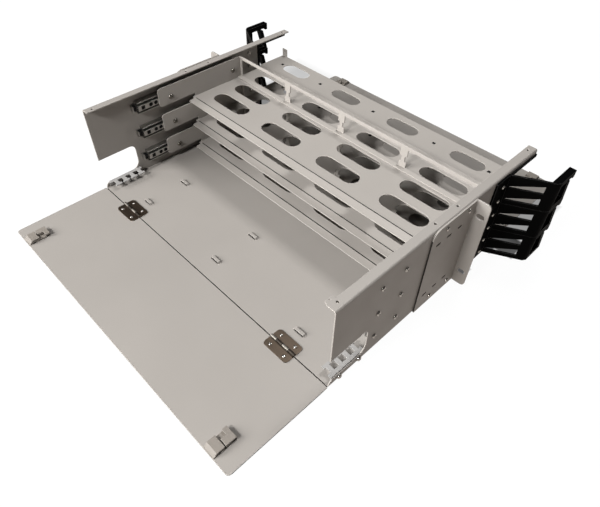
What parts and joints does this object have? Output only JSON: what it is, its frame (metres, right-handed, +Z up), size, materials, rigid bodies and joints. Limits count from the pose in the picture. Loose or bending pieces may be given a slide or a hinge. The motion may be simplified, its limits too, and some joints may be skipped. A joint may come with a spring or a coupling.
{
  "type": "fibre patch panel",
  "caption": "Rack-mount fibre patch panel: open folded chassis with sliding slotted trays, adapter frames, cable combs, side cable guides and drop-down latched doors.",
  "frame": {"origin": "middle of the chassis floor, on its underside", "axes": "+X to the right-hand wall, +Y to the front door, +Z up"},
  "size_m": [0.545, 0.619, 0.129],
  "materials": {
    "coated_sheet": "fine satin powder coat",
    "slide_steel": "zinc plated",
    "hinge_steel": "dull stainless",
    "latch_plastic": "smooth moulded",
    "comb_plastic": "smooth moulded",
    "guide_plastic": "fine matte moulded",
    "edge_trim": "smooth matte"
  },
  "bodies": {
    "chassis": {"chassis": "coated_sheet", "left_ear_bracket": "coated_sheet", "left_cable_comb": "comb_plastic", "left_edge_trim": "edge_trim", "left_bottom_cable_guide": "guide_plastic", "left_middle_cable_guide": "guide_plastic", "left_top_cable_guide": "guide_plastic", "left_bottom_outer_rail": "slide_steel", "left_middle_outer_rail": "slide_steel", "left_top_outer_rail": "slide_steel", "right_ear_bracket": "coated_sheet", "right_cable_comb": "comb_plastic", "right_edge_trim": "edge_trim", "right_bottom_cable_guide": "guide_plastic", "right_middle_cable_guide": "guide_plastic", "right_top_cable_guide": "guide_plastic", "right_bottom_outer_rail": "slide_steel", "right_middle_outer_rail": "slide_steel", "right_top_outer_rail": "slide_steel", "rear_left_fixed_leaf": "hinge_steel", "rear_right_fixed_leaf": "hinge_steel", "rear_hinge_pins": "hinge_steel", "front_left_fixed_leaf": "hinge_steel", "front_right_fixed_leaf": "hinge_steel", "front_hinge_pins": "hinge_steel"},
    "rear_flap": {"rear_flap": "coated_sheet", "rear_left_moving_leaf": "hinge_steel", "rear_right_moving_leaf": "hinge_steel", "rear_left_latch_housing": "latch_plastic", "rear_right_latch_housing": "latch_plastic"},
    "rear_left_latch_bolt": {"rear_left_latch_bolt": "latch_plastic"},
    "rear_right_latch_bolt": {"rear_right_latch_bolt": "latch_plastic"},
    "front_door": {"front_door": "coated_sheet", "front_left_moving_leaf": "hinge_steel", "front_right_moving_leaf": "hinge_steel", "front_left_latch_housing": "latch_plastic", "front_right_latch_housing": "latch_plastic"},
    "front_left_latch_bolt": {"front_left_latch_bolt": "latch_plastic"},
    "front_right_latch_bolt": {"front_right_latch_bolt": "latch_plastic"},
    "bottom_tray": {"bottom_tray": "coated_sheet", "bottom_adapter_frame": "coated_sheet", "left_bottom_inner_rail": "slide_steel", "right_bottom_inner_rail": "slide_steel"},
    "bottom_ball_retainers": {"left_bottom_ball_retainer": "slide_steel", "right_bottom_ball_retainer": "slide_steel"},
    "middle_tray": {"middle_tray": "coated_sheet", "middle_adapter_frame": "coated_sheet", "left_middle_inner_rail": "slide_steel", "right_middle_inner_rail": "slide_steel"},
    "middle_ball_retainers": {"left_middle_ball_retainer": "slide_steel", "right_middle_ball_retainer": "slide_steel"},
    "top_tray": {"top_tray": "coated_sheet", "top_adapter_frame": "coated_sheet", "left_top_inner_rail": "slide_steel", "right_top_inner_rail": "slide_steel"},
    "top_ball_retainers": {"left_top_ball_retainer": "slide_steel", "right_top_ball_retainer": "slide_steel"}
  },
  "joints": [
    {"name": "rear_flap_hinge", "type": "hinge", "parent": "chassis", "child": "rear_flap", "pos_m": [0, -0.176, 0.0035], "axis": [1, 0, 0], "range_deg": [-90, 0]},
    {"name": "front_door_hinge", "type": "hinge", "parent": "chassis", "child": "front_door", "pos_m": [0, 0.176, 0.0035], "axis": [-1, 0, 0], "range_deg": [-90, 0]},
    {"name": "bottom_tray_slide", "type": "slide", "parent": "chassis", "child": "bottom_tray", "axis": [0, 1, 0], "range_m": [0, 0.11]},
    {"name": "middle_tray_slide", "type": "slide", "parent": "chassis", "child": "middle_tray", "axis": [0, 1, 0], "range_m": [0, 0.11]},
    {"name": "top_tray_slide", "type": "slide", "parent": "chassis", "child": "top_tray", "axis": [0, 1, 0], "range_m": [0, 0.11]},
    {"name": "bottom_retainer_slide", "type": "slide", "parent": "chassis", "child": "bottom_ball_retainers", "axis": [0, 1, 0], "range_m": [0, 0.055]},
    {"name": "middle_retainer_slide", "type": "slide", "parent": "chassis", "child": "middle_ball_retainers", "axis": [0, 1, 0], "range_m": [0, 0.055]},
    {"name": "top_retainer_slide", "type": "slide", "parent": "chassis", "child": "top_ball_retainers", "axis": [0, 1, 0], "range_m": [0, 0.055]},
    {"name": "rear_left_bolt_slide", "type": "slide", "parent": "rear_flap", "child": "rear_left_latch_bolt", "axis": [0, 1, 0], "range_m": [0, 0.0012], "stiffness_N_per_m": 500},
    {"name": "rear_right_bolt_slide", "type": "slide", "parent": "rear_flap", "child": "rear_right_latch_bolt", "axis": [0, 1, 0], "range_m": [0, 0.0012], "stiffness_N_per_m": 500},
    {"name": "front_left_bolt_slide", "type": "slide", "parent": "front_door", "child": "front_left_latch_bolt", "axis": [0, -1, 0], "range_m": [0, 0.0012], "stiffness_N_per_m": 500},
    {"name": "front_right_bolt_slide", "type": "slide", "parent": "front_door", "child": "front_right_latch_bolt", "axis": [0, -1, 0], "range_m": [0, 0.0012], "stiffness_N_per_m": 500}
  ],
  "couplings": [
    {"joint": "bottom_retainer_slide", "follows": "bottom_tray_slide", "ratio": 0.5},
    {"joint": "middle_retainer_slide", "follows": "middle_tray_slide", "ratio": 0.5},
    {"joint": "top_retainer_slide", "follows": "top_tray_slide", "ratio": 0.5}
  ]
}
